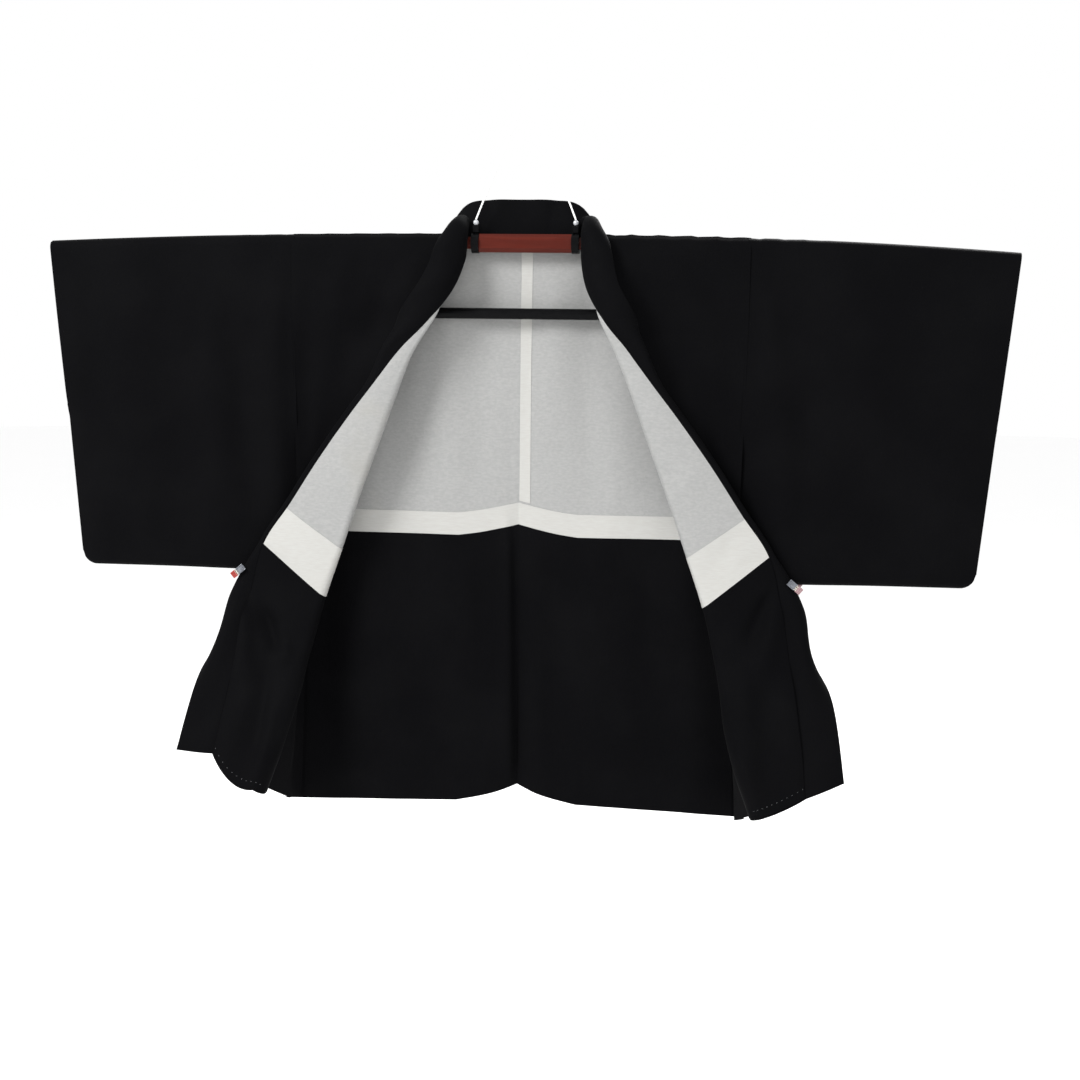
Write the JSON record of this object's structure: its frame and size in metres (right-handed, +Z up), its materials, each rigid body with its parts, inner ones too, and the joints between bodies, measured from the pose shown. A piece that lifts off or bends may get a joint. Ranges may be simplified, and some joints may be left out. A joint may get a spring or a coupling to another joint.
{
  "type": "haori jacket on kimono hanger",
  "caption": "Lined black haori with wide square sleeves and a folded collar, its fronts turned back and clipped to the sleeves, on a telescopic kimono hanger.",
  "frame": {"origin": "the point of the hanger's hook that bears on a rail, at the top of the inside of its loop", "axes": "+Z up, +X along the pole to the right of a viewer who faces the open fronts, the fronts towards -Y"},
  "size_m": [1.3239, 0.1805, 1.0187],
  "materials": {
    "crepe": "fine matte silk crepe",
    "crepe_facing": "the same crepe turned up inside",
    "silk_lining": "pale grey figured silk",
    "cream_band": "plain cream silk",
    "brown_plastic": "semi-gloss",
    "black_plastic": "semi-gloss",
    "white_wire": "satin",
    "clip_plastic": "gloss"
  },
  "bodies": {
    "root": {"back_facing_left": "crepe_facing", "back_facing_right": "crepe_facing", "back_lining_band_left": "cream_band", "back_lining_band_right": "cream_band", "back_lining_left": "silk_lining", "back_lining_right": "silk_lining", "body_panel_left": "crepe", "body_panel_right": "crepe", "centre_allowance": "cream_band", "clip_back_left": "clip_plastic", "clip_back_right": "clip_plastic", "clip_front_left": "clip_plastic", "clip_front_right": "clip_plastic", "collar_chest_left": "crepe", "collar_chest_right": "crepe", "collar_end_left": "crepe", "collar_end_right": "crepe", "collar_neck": "crepe", "collar_turned_left": "crepe", "collar_turned_right": "crepe", "front_facing_left": "crepe_facing", "front_facing_right": "crepe_facing", "front_lining_band_left": "cream_band", "front_lining_band_right": "cream_band", "front_lining_left": "silk_lining", "front_lining_right": "silk_lining", "gusset_left": "crepe", "gusset_right": "crepe", "hanger_arm_left": "brown_plastic", "hanger_arm_right": "brown_plastic", "hanger_bail": "white_wire", "hanger_bracket_left": "black_plastic", "hanger_bracket_right": "black_plastic", "hanger_hook": "white_wire", "hanger_knob_left": "white_wire", "hanger_knob_right": "white_wire", "hanger_pole": "brown_plastic", "hanger_ring_left": "black_plastic", "hanger_ring_right": "black_plastic", "sash_bar": "black_plastic", "sash_bar_link_left": "black_plastic", "sash_bar_link_right": "black_plastic", "sleeve_left": "crepe", "sleeve_right": "crepe"}
  },
  "joints": []
}
